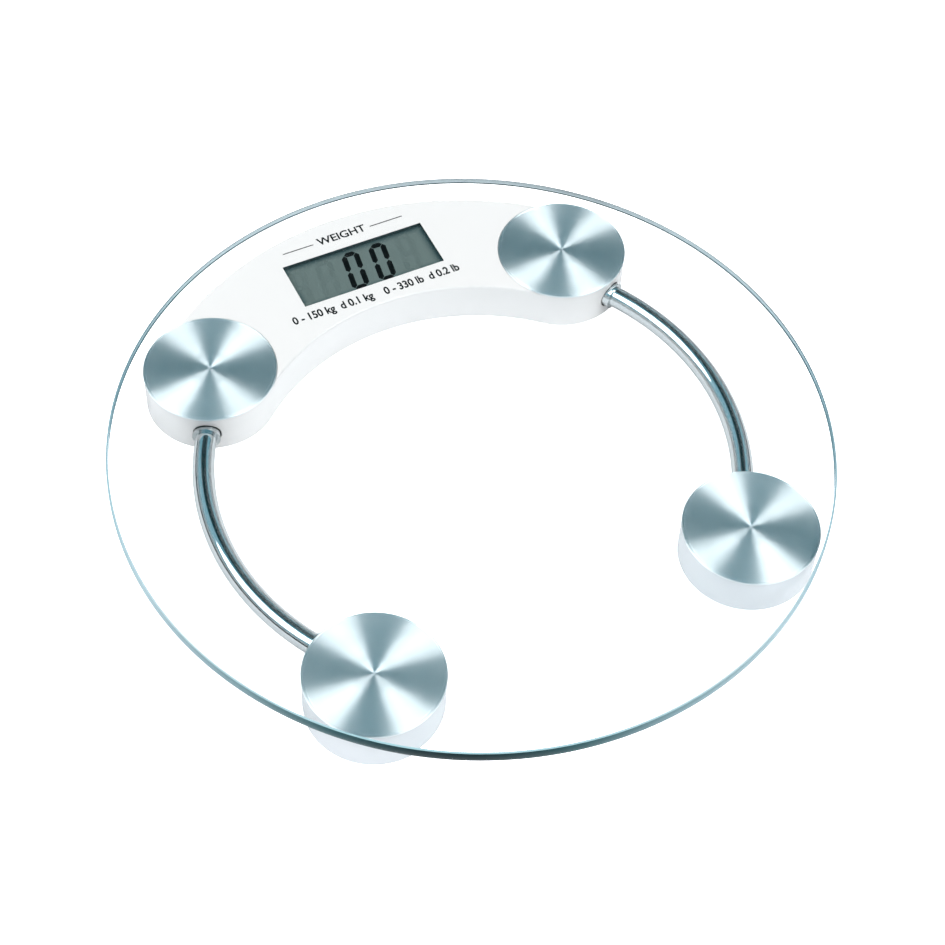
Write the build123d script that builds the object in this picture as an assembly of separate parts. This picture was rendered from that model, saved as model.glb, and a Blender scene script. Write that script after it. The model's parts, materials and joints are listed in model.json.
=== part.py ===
from build123d import *
import math
import os

# Round glass bathroom scale, in millimetres. The origin is on the floor under the middle of the glass,
# +Y points to the display, +X to the right and +Z up.

# Overall sizes
glass_diameter = 330
glass_thickness = 6
glass_edge = 0.8  # ground chamfer round both faces
overall_height = 28
glass_under = overall_height - glass_thickness

# Feet: four on a square whose middle lies a little in front of the glass centre
foot_half_pitch = 91.75
feet_middle = Vector(0, -2, 0)
disc_radius = 31
disc_thickness = 1.2
foot_top = glass_under - disc_thickness
shell_radius = 30.8
shell_bottom = 1.2
foot_wall = 1.8
foot_roof = 18.6
lower_cover_top = 3.2

# Crescent housing
housing_top = glass_under - 0.4
housing_wall = 2.0
cavity_top = housing_top - housing_wall
lobe_roof = foot_roof
outer_arc_radius = 151.5
outer_arc_centre_y = 2.3
inner_wall_y = 93.8  # inner wall on the centre line
cover_gap = 0.15  # between a lower cover and the wall around it
join_round = 14  # where the outer arc meets the round ends

# Pads, buttons and load cells
pad_hole_radius = 25.0
pad_radius = 24.6
pad_flange_radius = 26.4
pad_under = 0.5
flange_bottom = 3.6
flange_top = 5.0
boss_top = 6.0
boss_radius = 6
grip_radius = 21.5
grip_thickness = 1.4
cell_under = 9.0
cell_plate = 1.6
cell_side = 34
cell_top = cell_under + cell_plate
rim_height = 2.4
gauge_top = cell_top + 1.0
button_radius = 5
carrier_radius = 25.5
carrier_under = 7.4
carrier_opening = 29
post_offset = 21.5
post_radius = 3.0
screw_radius = 1.1
pilot_radius = 1.15

# Wire tubes
tube_radius = 5
tube_wall = 1.0
tube_arc = 123
tube_z = 11.4
tube_reach = 33.6  # degrees each side of the tube's middle
ferrule_radius = 6.0
ferrule_start = 30.3
ferrule_end = 32.6
socket_bottom = 5.9
wire_radius = 1.0
wire_z = 14.2
front_wire_arc = 123
rear_wire_arc = 119.6
board_reach = 23.2  # degrees from the centre line to the wires' ends on the board

# Display and board
display_y = 120.5
window_width = 73
window_depth = 27.5
lcd_width = 78
lcd_depth = 33
lcd_thickness = 2.8
lcd_under = cavity_top - lcd_thickness
reflector_thickness = 0.3
board_width = 96
board_depth = 36
board_under = 9.0
board_top = 10.6
ledge_top = lcd_under - reflector_thickness
holder_bottom = 13.4

# Coin cell and its door
cell_x = 27
cell_y = 118
coin_radius = 10
coin_thickness = 3.2
door_radius = 12.5
door_gap = 0.3
door_thickness = 1.4
coin_under = 3.2
coin_top = coin_under + coin_thickness

# Unit button
key_x = -20
key_y = 114
key_radius = 4
key_travel = 0.6

housing_screw_spots = [(0, 147), (0, 99), (56, 97), (-56, 97), (61, 127), (-61, 127)]
board_screw_spots = [(45, 135.5), (-45, 135.5), (45, 104.8), (-45, 104.8)]

foot_angles = {"rear_right": 45, "rear_left": 135, "front_left": 225, "front_right": -45}
feet_arc = foot_half_pitch * math.sqrt(2)


def foot_centre(name):
    turn = math.radians(foot_angles[name])
    return feet_middle + Vector(feet_arc * math.cos(turn), feet_arc * math.sin(turn), 0)


def foot_place(name):
    """Turns a piece so that its own X points away from the middle of the feet."""
    spot = foot_centre(name)
    return Pos(spot.X, spot.Y, 0) * Rot(0, 0, foot_angles[name])


def disc(radius, low, high, x=0, y=0):
    return Pos(x, y, low) * Cylinder(radius, high - low, align=(Align.CENTER, Align.CENTER, Align.MIN))


def block(width, depth, low, high, x=0, y=0):
    centred = (Align.CENTER, Align.CENTER, Align.MIN)
    return Pos(x, y, low) * Box(width, depth, high - low, align=centred)


def arc_point(radius, degrees, z):
    turn = math.radians(degrees)
    return feet_middle + Vector(radius * math.cos(turn), radius * math.sin(turn), z)


def arc_edge(radius, start, end, z):
    middle = (start + end) / 2
    points = [arc_point(radius, angle, z) for angle in (start, middle, end)]
    return ThreePointArc(*points)


def round_sweep(path, radius):
    start = path @ 0
    section = Plane(origin=start, z_dir=path % 0) * Circle(radius)
    return sweep(section, path=path)


def crescent(inset):
    """Outline of the housing, drawn in by inset: two arcs joined by the round ends over the rear feet."""
    end_radius = shell_radius - inset
    end_x = foot_half_pitch
    end_y = foot_half_pitch + feet_middle.Y
    # The inner arc passes inner_wall_y on the centre line and is tangent to both round ends.
    reach = inner_wall_y + shell_radius
    centre_y = (reach**2 - end_x**2 - end_y**2) / (2 * (reach - end_y))
    inner_radius = inner_wall_y - centre_y + inset
    outer_radius = outer_arc_radius - inset
    band = Pos(0, outer_arc_centre_y) * Circle(outer_radius) - Pos(0, centre_y) * Circle(inner_radius)
    # Keep the part of the band between the two lines that run from the inner arc's centre to the end centres.
    far = 300
    slope = (end_y - centre_y) / end_x
    wedge = make_face(
        Polyline((0, centre_y), (far, centre_y + far * slope), (-far, centre_y + far * slope), close=True)
    )
    outline = band & wedge
    for side in (-1, 1):
        outline += Pos(side * end_x, end_y) * Circle(end_radius)
    corners = [v for v in outline.vertices() if v.Y > end_y + 20 and abs(v.X) > end_x - 15]
    return fillet(corners, join_round + inset)


def glass_platform():
    plate = disc(glass_diameter / 2, glass_under, overall_height)
    return chamfer(plate.edges().filter_by(GeomType.CIRCLE), glass_edge)


def foot_disc(name):
    spot = foot_centre(name)
    plate = disc(disc_radius, foot_top, glass_under, spot.X, spot.Y)
    return chamfer(plate.edges().group_by(Axis.Z)[0], 0.3)


def cell_posts(low, high):
    """Two posts beside a load cell, along the foot's own Y."""
    posts = Part()
    for side in (-1, 1):
        post = disc(post_radius, low, high, 0, side * post_offset)
        posts += post - disc(pilot_radius, low, high - 2, 0, side * post_offset)
    return posts


def cell_rests():
    """Four pegs that press on the corners of a load cell from above."""
    rests = Part()
    reach = cell_side / 2 - 2.6
    for x, y in [(reach, reach), (-reach, reach), (reach, -reach), (-reach, -reach)]:
        rests += disc(1.6, cell_top, foot_roof, x, y)
    return rests


def end_arc(side, rear, start, end):
    """Stretch of a tube's arc near one end, measured in degrees from the tube's middle."""
    middle = 180 if side == "left" else 0
    turn = 1 if rear == (side == "right") else -1
    return arc_edge(tube_arc, middle + turn * start, middle + turn * end, tube_z)


def tube(side):
    middle = 180 if side == "left" else 0
    path = arc_edge(tube_arc, middle - tube_reach, middle + tube_reach, tube_z)
    return round_sweep(path, tube_radius) - round_sweep(path, tube_radius - tube_wall)


def ferrule(side, rear):
    """Collar round one end of a tube, half sunk into the wall that the tube enters."""
    body = round_sweep(end_arc(side, rear, ferrule_start, ferrule_end), ferrule_radius)
    lip = round_sweep(end_arc(side, rear, ferrule_start, ferrule_start + 0.5), ferrule_radius + 0.5)
    bore = round_sweep(end_arc(side, rear, ferrule_start - 1, ferrule_end + 1), tube_radius)
    return body + lip - bore


def tube_hole(side, rear):
    """Stepped hole in a foot wall: wide for the ferrule, then tight round the tube."""
    wide = round_sweep(end_arc(side, rear, ferrule_start - 4, ferrule_end), ferrule_radius + 0.55)
    tight = round_sweep(end_arc(side, rear, ferrule_start - 4, tube_reach + 1.4), tube_radius + 0.02)
    return wide + tight


def tube_socket(side, rear):
    """Boss inside a foot wall that carries the end of a tube, cut off above the pad's travel."""
    boss = round_sweep(end_arc(side, rear, 31.8, tube_reach), ferrule_radius + 2)
    spot = foot_centre(("rear_" if rear else "front_") + side)
    return boss & disc(shell_radius - 0.3, socket_bottom, cavity_top, spot.X, spot.Y)


def foot_shell(name):
    spot = foot_centre(name)
    side = name.split("_")[1]
    outside = disc(shell_radius, shell_bottom, foot_top, spot.X, spot.Y)
    bottom_edge = outside.edges().group_by(Axis.Z)[0]
    outside = chamfer(bottom_edge, 0.4)
    hollow = disc(shell_radius - foot_wall, shell_bottom, foot_roof, spot.X, spot.Y)
    body = outside - hollow + tube_socket(side, False)
    body += foot_place(name) * (cell_posts(cell_under, foot_roof) + cell_rests())
    return body - tube_hole(side, False)


def foot_ring(name):
    """Ring that closes the mouth of a front foot and keeps its pad in."""
    spot = foot_centre(name)
    outer = shell_radius - foot_wall - cover_gap
    ring = disc(outer, shell_bottom, lower_cover_top, spot.X, spot.Y)
    return ring - disc(pad_hole_radius, shell_bottom, lower_cover_top, spot.X, spot.Y)


def cell_carrier(name):
    plate = disc(carrier_radius, carrier_under, cell_under)
    plate -= block(carrier_opening, carrier_opening, carrier_under, cell_under)
    for side in (-1, 1):
        plate -= disc(pilot_radius, carrier_under, cell_under, 0, side * post_offset)
    return foot_place(name) * plate


def load_cell(name):
    plate = block(cell_side, cell_side, cell_under, cell_top)
    plate = fillet(plate.edges().filter_by(Axis.Z), 3)
    # Two nested slots leave a tongue in the middle that bends under load.
    for outer, slot, open_side in [(25, 1.5, 1), (18, 2.0, -1)]:
        cut = block(outer, outer, cell_under, cell_top) - block(outer - 2 * slot, outer - 2 * slot, cell_under, cell_top)
        bridge = block(outer / 2, outer - 2 * slot, cell_under, cell_top, open_side * outer / 2)
        plate -= cut - bridge
    for side in (-1, 1):
        plate += block(1.2, cell_side - 10, cell_top, cell_top + rim_height, side * (cell_side / 2 - 0.6))
    return foot_place(name) * plate


def strain_gauges():
    gauges = Part()
    for name in foot_angles:
        gauges += foot_place(name) * block(3.4, 8, cell_top, gauge_top, front_wire_arc - feet_arc)
        if name.startswith("rear"):
            gauges += foot_place(name) * block(2.6, 5, cell_top, gauge_top, rear_wire_arc - feet_arc - 0.4)
    return gauges


def load_button(name):
    spot = foot_centre(name)
    return disc(button_radius, boss_top, cell_under, spot.X, spot.Y)


def pad(name):
    body = disc(pad_radius, pad_under, flange_bottom)
    body = chamfer(body.edges().group_by(Axis.Z)[0], 0.6)
    body += disc(pad_flange_radius, flange_bottom, flange_top)
    body += disc(boss_radius, flange_top, boss_top)
    body -= disc(grip_radius, pad_under, grip_thickness)
    return foot_place(name) * body


def grip(name):
    """Rubber disc in the pad's recess, with round grooves in the face that meets the floor."""
    body = disc(grip_radius - 0.1, 0, grip_thickness)
    for radius in (7, 12, 17):
        body -= disc(radius + 0.5, 0, 0.4) - disc(radius - 0.5, 0, 0.4)
    return foot_place(name) * body


def wire_end(point, heading, drop):
    """Quarter turn that takes a wire down to the face it is soldered to."""
    ahead = heading.normalized()
    bend = drop * math.sqrt(0.5)
    middle = point + ahead * bend - Vector(0, 0, drop - bend)
    return ThreePointArc(point, middle, point + ahead * drop - Vector(0, 0, drop))


def wire_set(name):
    """Wires from a load cell along one long arc to the main board."""
    radius = front_wire_arc if name.startswith("front") else rear_wire_arc
    board_angle = 90 + board_reach if name.endswith("left") else 90 - board_reach
    run = arc_edge(radius, foot_angles[name], board_angle, wire_z)
    down_to_cell = wire_end(run @ 0, -(run % 0), wire_z - gauge_top)
    down_to_board = wire_end(run @ 1, run % 1, wire_z - board_top)
    near_end = Plane(origin=run @ 0, z_dir=run % 0) * Circle(wire_radius)
    far_end = Plane(origin=run @ 1, z_dir=run % 1) * Circle(wire_radius)
    body = sweep(near_end, path=run.edges()[0])
    body += sweep(near_end, path=down_to_cell.edges()[0])
    return body + sweep(far_end, path=down_to_board.edges()[0])


def housing_top_shell():
    body = extrude(Pos(0, 0, shell_bottom) * crescent(0), housing_top - shell_bottom)
    body = fillet(body.edges().group_by(Axis.Z)[-1], 1.0)
    body -= extrude(Pos(0, 0, shell_bottom) * crescent(housing_wall), cavity_top - shell_bottom)
    for name in ("rear_left", "rear_right"):
        spot = foot_centre(name)
        side = name.split("_")[1]
        body += disc(shell_radius - housing_wall + 0.5, lobe_roof, cavity_top + 0.5, spot.X, spot.Y)
        body += tube_socket(side, True)
        body += foot_place(name) * (cell_posts(cell_under, lobe_roof) + cell_rests())
        body -= disc(disc_radius + 0.15, foot_top, housing_top, spot.X, spot.Y)
        body -= tube_hole(side, True)
    for x, y in housing_screw_spots:
        body += disc(3.2, lower_cover_top, cavity_top, x, y)
        body -= disc(pilot_radius, lower_cover_top, 13, x, y)
    for x, y in board_screw_spots:
        body += disc(2.4, board_top, cavity_top, x, y)
        body -= disc(pilot_radius, board_top, cavity_top - 2, x, y)
    window = block(window_width, window_depth, lcd_under, housing_top, 0, display_y)
    return body - window


def housing_base_cover():
    inset = housing_wall + cover_gap
    body = extrude(Pos(0, 0, shell_bottom) * crescent(inset), lower_cover_top - shell_bottom)
    for name in ("rear_left", "rear_right"):
        spot = foot_centre(name)
        body -= disc(pad_hole_radius, shell_bottom, lower_cover_top, spot.X, spot.Y)
    for x, y in housing_screw_spots:
        body -= disc(2.8, shell_bottom, 2.2, x, y)
        body -= disc(1.3, shell_bottom, lower_cover_top, x, y)
    # Round well for the coin cell, open below, with a ledge above the door's lugs
    body += disc(door_radius + 1.6, lower_cover_top, coin_top - 0.4, cell_x, cell_y)
    body -= disc(coin_radius + 0.3, shell_bottom, coin_top, cell_x, cell_y)
    body -= disc(door_radius + door_gap, shell_bottom, coin_under, cell_x, cell_y)
    body -= block(4.4, 6, coin_under, coin_top, cell_x + coin_radius + 1.6, cell_y)
    body -= disc(key_radius + 0.3, shell_bottom, lower_cover_top, key_x, key_y)
    return body


def battery_door():
    """Round cap with a coin slot that turns in the well's mouth."""
    body = disc(door_radius, shell_bottom, shell_bottom + door_thickness, cell_x, cell_y)
    body = chamfer(body.edges().group_by(Axis.Z)[0], 0.3)
    slot = block(15, 2, shell_bottom, shell_bottom + 0.8, cell_x, cell_y)
    return body - slot


def coin_cell():
    can = disc(coin_radius, coin_under, coin_top - 0.6, cell_x, cell_y)
    can = fillet(can.edges().group_by(Axis.Z)[0], 0.4)
    return can + disc(coin_radius - 1.2, coin_top - 0.6, coin_top, cell_x, cell_y)


def negative_contact():
    """Leaf over the cell with a leg up to the board."""
    leaf = block(14, 4, coin_top, coin_top + 0.3, cell_x - 3, cell_y)
    return leaf + block(0.3, 4, coin_top + 0.3, board_under, cell_x - 9.85, cell_y)


def positive_contact():
    """Side spring against the rim of the cell, with a leg up to the board."""
    x = cell_x + coin_radius + 0.15
    leg = block(0.3, 4, coin_under + 0.5, board_under, x + 0.02, cell_y)
    return leg + block(2, 4, board_under - 0.3, board_under, x + 1.17, cell_y)


def unit_button():
    """Key recessed in the base cover: a cap, a flange that keeps it in and a stem under the switch."""
    cap = disc(key_radius, 1.6, 3.5, key_x, key_y)
    cap = fillet(cap.edges().group_by(Axis.Z)[0], 0.4)
    cap += disc(key_radius + 1.2, 3.5, 4.3, key_x, key_y)
    return cap + disc(1.5, 4.3, 4.8, key_x, key_y)


def unit_switch():
    body = block(6, 6, 6.0, board_under, key_x, key_y)
    return body + disc(1.5, 4.8 + key_travel + 0.1, 6.0, key_x, key_y)


def tap_switch():
    """Small vibration switch that wakes the scale when it is stepped on."""
    can = Pos(-34, 124, 6.6) * Rot(0, 90, 0) * Cylinder(2, 9)
    saddle = block(7, 3, 6.6, board_under, -34, 124)
    return can + saddle


def main_board():
    body = block(board_width, board_depth, board_under, board_top, 0, display_y)
    body = fillet(body.edges().filter_by(Axis.Z), 2)
    for x, y in board_screw_spots:
        body -= disc(1.3, board_under, board_top, x, y)
    return body


def controller_chip():
    """Resin drop over the bonded controller chip."""
    drop = disc(6.5, 7.6, board_under, -2, 128)
    return fillet(drop.edges().group_by(Axis.Z)[0], 1.2)


def board_components():
    body = block(11, 4.2, 6.0, board_under, 4, 108)
    for x in (-14, -10, -6):
        body += block(2, 1.25, 8.2, board_under, x, 107)
    for x in (-8, -4, 0, 4):
        body += block(2, 1.25, 8.2, board_under, x, 117.5)
    return body


def lcd_cell():
    """Liquid-crystal cell: the upper glass is shorter than the lower one, which carries the contact edge."""
    lower = block(lcd_width, lcd_depth, lcd_under, lcd_under + lcd_thickness / 2, 0, display_y)
    upper_depth = lcd_depth - 2.4
    upper = block(lcd_width, upper_depth, lcd_under + lcd_thickness / 2, cavity_top, 0, display_y + 1.2)
    return lower + upper


def lcd_reflector():
    depth = lcd_depth - 5
    return block(lcd_width, depth, ledge_top, lcd_under, 0, display_y + 2.5)


def zebra_strip():
    """Striped rubber connector between the board and the contact edge of the display."""
    return block(70, 2.4, board_top, lcd_under, 0, display_y - lcd_depth / 2 + 2)


def lcd_holder():
    outer = block(84, 36.4, holder_bottom, cavity_top, 0, display_y)
    outer -= block(lcd_width + 0.4, lcd_depth + 0.4, ledge_top, cavity_top, 0, display_y)
    ledge_opening = block(72, lcd_depth - 3, holder_bottom, ledge_top, 0, display_y - 1.5)
    return outer - ledge_opening


def screws(spots, head_low, head_high, tip, head_radius):
    """Pan-head screws, pointing up, with a slot in each head."""
    group = Part()
    for x, y in spots:
        screw = disc(head_radius, head_low, head_high, x, y)
        screw += disc(screw_radius, head_high, tip, x, y)
        group += screw - block(2 * head_radius, 0.6, head_low, head_low + 0.5, x, y)
    return group


def carrier_screw_spots():
    spots = []
    for name in foot_angles:
        for side in (-1, 1):
            place = foot_place(name) * Pos(0, side * post_offset, 0)
            spots.append((place.position.X, place.position.Y))
    return spots


def model():
    pieces = {
        "glass_platform": glass_platform(),
        "housing_top_shell": housing_top_shell(),
        "housing_base_cover": housing_base_cover(),
        "battery_door": battery_door(),
        "coin_cell": coin_cell(),
        "negative_contact": negative_contact(),
        "positive_contact": positive_contact(),
        "unit_button": unit_button(),
        "unit_switch": unit_switch(),
        "tap_switch": tap_switch(),
        "main_board": main_board(),
        "controller_chip": controller_chip(),
        "board_components": board_components(),
        "lcd_cell": lcd_cell(),
        "lcd_reflector": lcd_reflector(),
        "lcd_holder": lcd_holder(),
        "zebra_strip": zebra_strip(),
        "strain_gauges": strain_gauges(),
        "housing_screws": screws(housing_screw_spots, 1.3, 2.2, 11, 2.5),
        "board_screws": screws(board_screw_spots, 7.8, board_under, 16, 2.0),
        "carrier_screws": screws(carrier_screw_spots(), 6.5, carrier_under, 14, 2.0),
    }
    for name in foot_angles:
        pieces[name + "_disc"] = foot_disc(name)
        pieces[name + "_cell_carrier"] = cell_carrier(name)
        pieces[name + "_load_cell"] = load_cell(name)
        pieces[name + "_load_button"] = load_button(name)
        pieces[name + "_pad"] = pad(name)
        pieces[name + "_grip"] = grip(name)
        pieces[name + "_wires"] = wire_set(name)
        if name.startswith("front"):
            pieces[name + "_foot_shell"] = foot_shell(name)
            pieces[name + "_foot_ring"] = foot_ring(name)
    for side in ("left", "right"):
        pieces[side + "_tube"] = tube(side)
        pieces[side + "_rear_ferrule"] = ferrule(side, True)
        pieces[side + "_front_ferrule"] = ferrule(side, False)
    return pieces


os.makedirs("parts", exist_ok=True)
for node, shape in model().items():
    shape.label = node
    export_step(shape, f"parts/{node}.step")
    print(node, len(shape.solids()), round(shape.volume))
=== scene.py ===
import json
import math

import bmesh
import bpy
from mathutils import Matrix, Vector


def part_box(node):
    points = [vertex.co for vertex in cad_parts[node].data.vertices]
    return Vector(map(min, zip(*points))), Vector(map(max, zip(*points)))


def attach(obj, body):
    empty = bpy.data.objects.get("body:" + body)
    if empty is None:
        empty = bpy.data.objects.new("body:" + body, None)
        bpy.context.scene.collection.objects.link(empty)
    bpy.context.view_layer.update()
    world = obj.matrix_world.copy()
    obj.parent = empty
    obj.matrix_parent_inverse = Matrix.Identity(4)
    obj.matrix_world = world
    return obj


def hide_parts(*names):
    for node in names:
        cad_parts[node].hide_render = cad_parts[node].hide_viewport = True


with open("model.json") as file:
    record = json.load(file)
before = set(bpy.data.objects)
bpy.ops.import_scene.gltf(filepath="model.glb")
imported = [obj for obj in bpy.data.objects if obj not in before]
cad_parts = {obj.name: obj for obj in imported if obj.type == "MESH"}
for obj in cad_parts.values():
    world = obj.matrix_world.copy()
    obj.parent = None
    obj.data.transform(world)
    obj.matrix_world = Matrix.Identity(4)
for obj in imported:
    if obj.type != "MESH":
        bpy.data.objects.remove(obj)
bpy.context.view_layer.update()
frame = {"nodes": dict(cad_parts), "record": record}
cadNodes = frame["nodes"]
scene = bpy.context.scene
print("frame loaded:", len(cadNodes), "nodes")


def nodeCentre(name):
    low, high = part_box(name)
    return (low + high) / 2


def newPiece(name, mesh, material):
    piece = bpy.data.objects.new(name, mesh)
    scene.collection.objects.link(piece)
    mesh.materials.clear()
    mesh.materials.append(material)
    return piece


def smoothWithCreases(mesh, degrees=32):
    mesh.shade_smooth()
    mesh.set_sharp_from_angle(angle=math.radians(degrees))


def meshFrom(bm, name):
    bmesh.ops.recalc_face_normals(bm, faces=bm.faces)
    mesh = bpy.data.meshes.new(name)
    bm.to_mesh(mesh)
    bm.free()
    smoothWithCreases(mesh)
    return mesh


def ringPoints(radius, steps):
    angles = (2 * math.pi * step / steps for step in range(steps))
    return [(radius * math.cos(angle), radius * math.sin(angle)) for angle in angles]


def turned(name, profile, steps, place):
    # profile is a list of (radius, height); the UV map holds radius in U and the turn in V
    bm = bmesh.new()
    uvLayer = bm.loops.layers.uv.new("spin")
    rings = []
    for radius, height in profile:
        points = ringPoints(radius, steps)
        rings.append([bm.verts.new((place.x + x, place.y + y, height)) for x, y in points])
    for low in range(len(rings) - 1):
        high = low + 1
        for step in range(steps):
            ahead = (step + 1) % steps
            quad = (rings[low][step], rings[low][ahead], rings[high][ahead], rings[high][step])
            corners = [(low, step), (low, step + 1), (high, step + 1), (high, step)]
            for loop, (ring, turn) in zip(bm.faces.new(quad).loops, corners):
                loop[uvLayer].uv = (profile[ring][0] * 10, turn / steps)
    bm.faces.new(rings[0][::-1])
    bm.faces.new(rings[-1])
    return meshFrom(bm, name)


cameraSet = {
    "lens": 85.87,
    "azimuth": -28.571,
    "elevation": 52.447,
    "roll": 3.278,
    "distance": 1.008,
    "target": (-0.00897, -0.01775),
    "sensor": 36,
    "clip": (0.01, 50),
}


def makeCamera(size):
    az, el, roll = (math.radians(size[key]) for key in ("azimuth", "elevation", "roll"))
    back = Vector((math.sin(az) * math.cos(el), -math.cos(az) * math.cos(el), math.sin(el)))
    right = Vector((math.cos(az), math.sin(az), 0))
    up = back.cross(right)
    across = right * math.cos(roll) + up * math.sin(roll)
    upright = up * math.cos(roll) - right * math.sin(roll)
    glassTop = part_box("glass_platform")[1].z
    target = Vector((*size["target"], glassTop))
    data = bpy.data.cameras.new("camera")
    data.lens = size["lens"]
    data.sensor_width = size["sensor"]
    data.clip_start, data.clip_end = size["clip"]
    camera = bpy.data.objects.new("camera", data)
    scene.collection.objects.link(camera)
    turn = Matrix((across, upright, back)).transposed().to_4x4()
    camera.matrix_world = Matrix.Translation(target + back * size["distance"]) @ turn
    scene.camera = camera
    return Vector((right.x, right.y, 0)), Vector((back.x, back.y, 0)).normalized()


cameraRight, cameraBack = makeCamera(cameraSet)
print("camera ready")


def groupTree(name, inputs, outputs):
    tree = bpy.data.node_groups.new(name, "ShaderNodeTree")
    for label, kind, value in inputs:
        socket = tree.interface.new_socket(label, in_out="INPUT", socket_type=kind)
        if value is not None:
            socket.default_value = value
    for label, kind in outputs:
        tree.interface.new_socket(label, in_out="OUTPUT", socket_type=kind)
    return tree, tree.nodes.new("NodeGroupInput"), tree.nodes.new("NodeGroupOutput")


def addNode(tree, kind, **values):
    node = tree.nodes.new(kind)
    for key, value in values.items():
        setattr(node, key, value)
    return node


def mathNode(tree, operation, first, second=None, third=None, clamp=False):
    node = addNode(tree, "ShaderNodeMath", operation=operation, use_clamp=clamp)
    for index, value in enumerate((first, second, third)):
        if value is None:
            continue
        if isinstance(value, (int, float)):
            node.inputs[index].default_value = value
        else:
            tree.links.new(value, node.inputs[index])
    return node.outputs[0]


def rangeNode(tree, value, fromLow, fromHigh, toLow, toHigh):
    node = addNode(tree, "ShaderNodeMapRange")
    tree.links.new(value, node.inputs["Value"])
    limits = {"From Min": fromLow, "From Max": fromHigh, "To Min": toLow, "To Max": toHigh}
    for label, amount in limits.items():
        if isinstance(amount, (int, float)):
            node.inputs[label].default_value = amount
        else:
            tree.links.new(amount, node.inputs[label])
    return node.outputs["Result"]


def mixColour(tree, factor, first, second):
    node = addNode(tree, "ShaderNodeMix", data_type="RGBA")
    for index, value in ((0, factor), (6, first), (7, second)):  # factor, A and B for colours
        if isinstance(value, (int, float, tuple)):
            node.inputs[index].default_value = value
        else:
            tree.links.new(value, node.inputs[index])
    return node.outputs[2]


def makeGrainGroup():
    # fine moulded or ground grain: a height for bump and a slow mottle for colour and gloss
    tree, inside, outside = groupTree(
        "surfaceGrain",
        [("Grain Size", "NodeSocketFloat", 0.4), ("Mottle Size", "NodeSocketFloat", 12.0)],
        [("Height", "NodeSocketFloat"), ("Mottle", "NodeSocketFloat")],
    )
    place = addNode(tree, "ShaderNodeTexCoord").outputs["Object"]
    fine = addNode(tree, "ShaderNodeTexNoise")
    fine.inputs["Detail"].default_value = 3
    slow = addNode(tree, "ShaderNodeTexNoise")
    slow.inputs["Detail"].default_value = 2
    for node, label in ((fine, "Grain Size"), (slow, "Mottle Size")):
        tree.links.new(place, node.inputs["Vector"])
        tree.links.new(mathNode(tree, "DIVIDE", 1000.0, inside.outputs[label]), node.inputs["Scale"])
    tree.links.new(fine.outputs["Fac"], outside.inputs["Height"])
    tree.links.new(slow.outputs["Fac"], outside.inputs["Mottle"])
    return tree


def makeScuffGroup():
    # hairline handling marks in two crossing directions, as a thin mask
    tree, inside, outside = groupTree(
        "handlingMarks",
        [("Spacing", "NodeSocketFloat", 9.0), ("Amount", "NodeSocketFloat", 0.5)],
        [("Mask", "NodeSocketFloat")],
    )
    place = addNode(tree, "ShaderNodeTexCoord").outputs["Object"]
    masks = []
    for turn, stretch in ((0.5, (1, 14, 1)), (2.2, (1, 18, 1))):
        mapping = addNode(tree, "ShaderNodeMapping")
        mapping.inputs["Rotation"].default_value = (0.2, 0.1, turn)
        mapping.inputs["Scale"].default_value = stretch
        tree.links.new(place, mapping.inputs["Vector"])
        noise = addNode(tree, "ShaderNodeTexNoise")
        noise.inputs["Detail"].default_value = 1
        tree.links.new(mapping.outputs["Vector"], noise.inputs["Vector"])
        tree.links.new(mathNode(tree, "DIVIDE", 1000.0, inside.outputs["Spacing"]), noise.inputs["Scale"])
        masks.append(rangeNode(tree, noise.outputs["Fac"], 0.68, 0.76, 0.0, 1.0))
    both = mathNode(tree, "MAXIMUM", masks[0], masks[1])
    mask = mathNode(tree, "MULTIPLY", both, inside.outputs["Amount"], clamp=True)
    tree.links.new(mask, outside.inputs["Mask"])
    return tree


def makeSpunGroup():
    # lathe lines that run round a turned face, read from the piece's own UV map (radius in U)
    tree, inside, outside = groupTree(
        "lathedLines",
        [("Line Density", "NodeSocketFloat", 2600.0)],
        [("Height", "NodeSocketFloat"), ("Tone", "NodeSocketFloat")],
    )
    uv = addNode(tree, "ShaderNodeUVMap", uv_map="spin").outputs["UV"]
    split = addNode(tree, "ShaderNodeSeparateXYZ")
    tree.links.new(uv, split.inputs["Vector"])
    fine = addNode(tree, "ShaderNodeTexNoise", noise_dimensions="1D")
    fine.inputs["Detail"].default_value = 2
    wide = addNode(tree, "ShaderNodeTexNoise", noise_dimensions="1D")
    wide.inputs["Scale"].default_value = 130
    tree.links.new(split.outputs["X"], fine.inputs["W"])
    tree.links.new(split.outputs["X"], wide.inputs["W"])
    tree.links.new(inside.outputs["Line Density"], fine.inputs["Scale"])
    rest = mathNode(tree, "MULTIPLY", wide.outputs["Fac"], 0.4)
    tone = mathNode(tree, "MULTIPLY_ADD", fine.outputs["Fac"], 0.6, rest)
    tree.links.new(fine.outputs["Fac"], outside.inputs["Height"])
    tree.links.new(tone, outside.inputs["Tone"])
    return tree


grainGroup = makeGrainGroup()
scuffGroup = makeScuffGroup()
spunGroup = makeSpunGroup()


def startMaterial(name):
    material = bpy.data.materials.new(name)
    material.use_nodes = True
    tree = material.node_tree
    shader = tree.nodes["Principled BSDF"]
    return material, tree, shader


def placeGroup(tree, group, **values):
    node = addNode(tree, "ShaderNodeGroup", node_tree=group)
    for label, value in values.items():
        node.inputs[label.replace("_", " ")].default_value = value
    return node


def bumpFrom(tree, height, strength, distance):
    bump = addNode(tree, "ShaderNodeBump")
    bump.inputs["Strength"].default_value = strength
    bump.inputs["Distance"].default_value = distance
    tree.links.new(height, bump.inputs["Height"])
    return bump.outputs["Normal"]


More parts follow.
